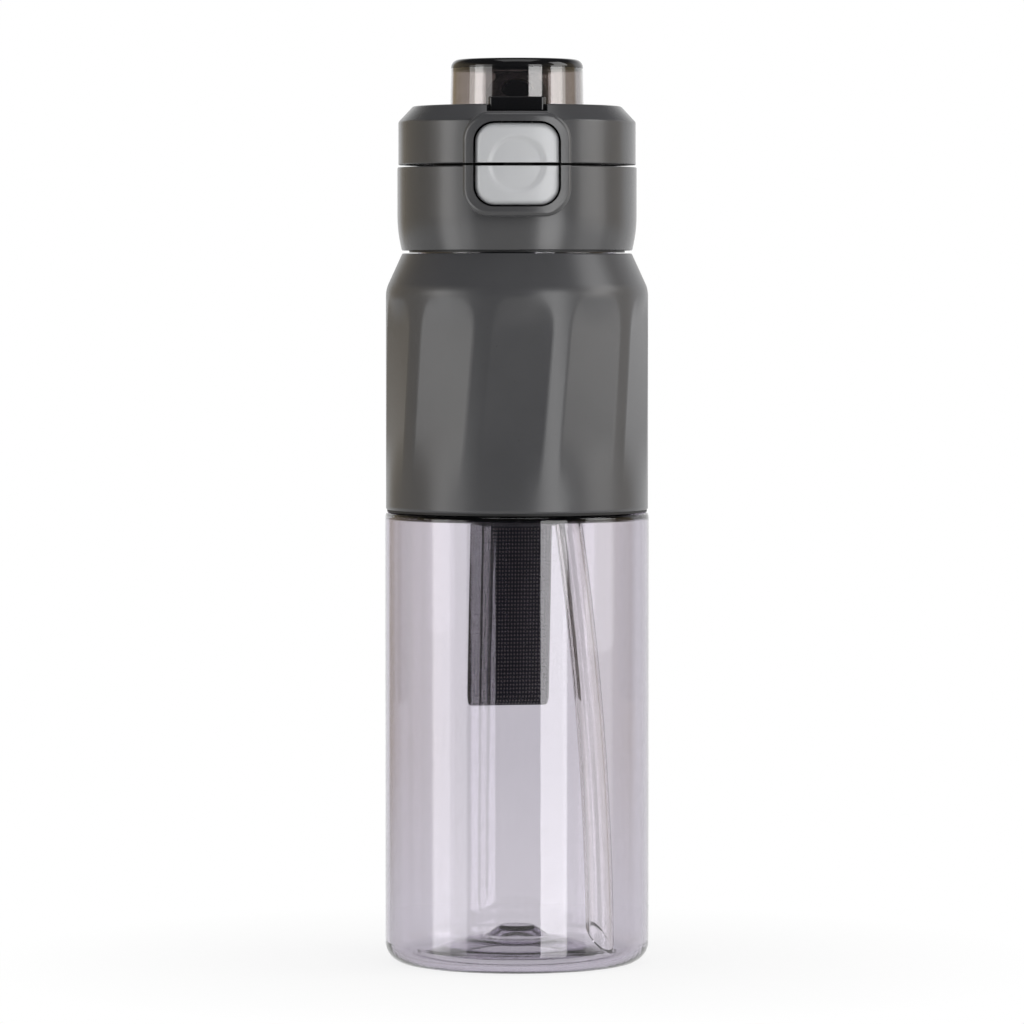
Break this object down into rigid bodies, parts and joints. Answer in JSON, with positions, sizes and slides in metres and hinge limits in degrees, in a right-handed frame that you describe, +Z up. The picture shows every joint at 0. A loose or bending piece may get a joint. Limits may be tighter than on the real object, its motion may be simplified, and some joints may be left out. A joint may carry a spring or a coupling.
{
  "type": "fruit infuser water bottle",
  "caption": "Clear bottle with a fluted grip sleeve, a screw lid with a flip cap, a folding spout under a dust cover, a bent straw, a fruit basket and a webbing carry loop.",
  "frame": {"origin": "on the bottle's axis, in the plane of the foot ring that it stands on", "axes": "+Z up the bottle's axis, -Y the front with the two buttons, +X to the right"},
  "size_m": [0.078, 0.0862, 0.2667],
  "materials": {
    "clear_copolyester": "clear smoky copolyester, blow moulded and glossy",
    "clear_cover": "clear smoky copolyester, injection moulded and glossy",
    "clear_straw": "clear grey extruded polypropylene",
    "grey_soft_touch": "moulded matt grey, very fine grain",
    "grey_pp": "moulded satin grey polypropylene",
    "dark_pp": "moulded dark grey polypropylene",
    "light_grey_abs": "moulded satin light grey ABS",
    "gloss_black_pp": "polished black",
    "black_nozzle": "moulded black, satin",
    "black_silicone": "moulded black silicone",
    "steel": "bright drawn stainless steel",
    "webbing": "woven black polyester webbing"
  },
  "bodies": {
    "bottle": {"bottle_body": "clear_copolyester", "hem_gasket": "black_silicone", "grip_sleeve": "grey_soft_touch"},
    "lid_ring": {"lid_gasket": "black_silicone"},
    "collar": {"collar_shell": "grey_pp", "lid_core": "dark_pp", "basket_tube": "dark_pp", "mouth_plate": "dark_pp", "straw": "clear_straw", "straw_bush": "black_silicone", "infuser_basket": "dark_pp", "infuser_base": "dark_pp", "hinge_pin": "steel", "cap_spring": "steel", "strap_bar": "steel", "lower_button_spring": "steel"},
    "lower_button": {"lower_button": "light_grey_abs"},
    "flip_cap": {"cap_shell": "grey_pp", "cap_liner": "dark_pp", "cap_seal": "black_silicone", "spout_port": "dark_pp", "spout_cradle": "gloss_black_pp", "upper_button_spring": "steel", "cover_spring": "steel"},
    "upper_button": {"upper_button": "light_grey_abs"},
    "dust_cover": {"dust_cover": "clear_cover", "cover_latch": "gloss_black_pp", "cover_pin": "steel"},
    "spout": {"spout": "black_nozzle"},
    "strap": {"carry_strap": "webbing"}
  },
  "joints": [
    {"name": "lid_lift", "type": "slide", "parent": "bottle", "child": "lid_ring", "axis": [0, 0, 1], "range_m": [0, 0.00601]},
    {"name": "lid_turn", "type": "hinge", "parent": "lid_ring", "child": "collar", "pos_m": [0, 0, 0.22], "axis": [0, 0, 1], "range_deg": [0, 540]},
    {"name": "cap_hinge", "type": "hinge", "parent": "collar", "child": "flip_cap", "pos_m": [0, 0.0378, 0.2353], "axis": [-1, 0, 0], "range_deg": [0, 115]},
    {"name": "lower_button_press", "type": "slide", "parent": "collar", "child": "lower_button", "axis": [0, 1, 0], "range_m": [0, 0.0015], "stiffness_N_per_m": 400, "springref_m": -0.001, "deforming": ["lower_button_spring"]},
    {"name": "upper_button_press", "type": "slide", "parent": "flip_cap", "child": "upper_button", "axis": [0, 1, 0], "range_m": [0, 0.0015], "stiffness_N_per_m": 400, "springref_m": -0.001, "deforming": ["upper_button_spring"]},
    {"name": "cover_hinge", "type": "hinge", "parent": "flip_cap", "child": "dust_cover", "pos_m": [0, 0.0226, 0.255], "axis": [-1, 0, 0], "range_deg": [0, 110]},
    {"name": "spout_fold", "type": "hinge", "parent": "flip_cap", "child": "spout", "pos_m": [0, 0.001, 0.2579], "axis": [-1, 0, 0], "range_deg": [0, 90.5]},
    {"name": "strap_swing", "type": "hinge", "parent": "collar", "child": "strap", "pos_m": [0, 0.0434, 0.222], "axis": [-1, 0, 0], "range_deg": [-150, 0]}
  ],
  "couplings": [
    {"joint": "lid_lift", "follows": "lid_turn", "m_per_rad": 0.00063662},
    {"joint": "spout_fold", "follows": "cover_hinge", "ratio": 0.81818}
  ]
}
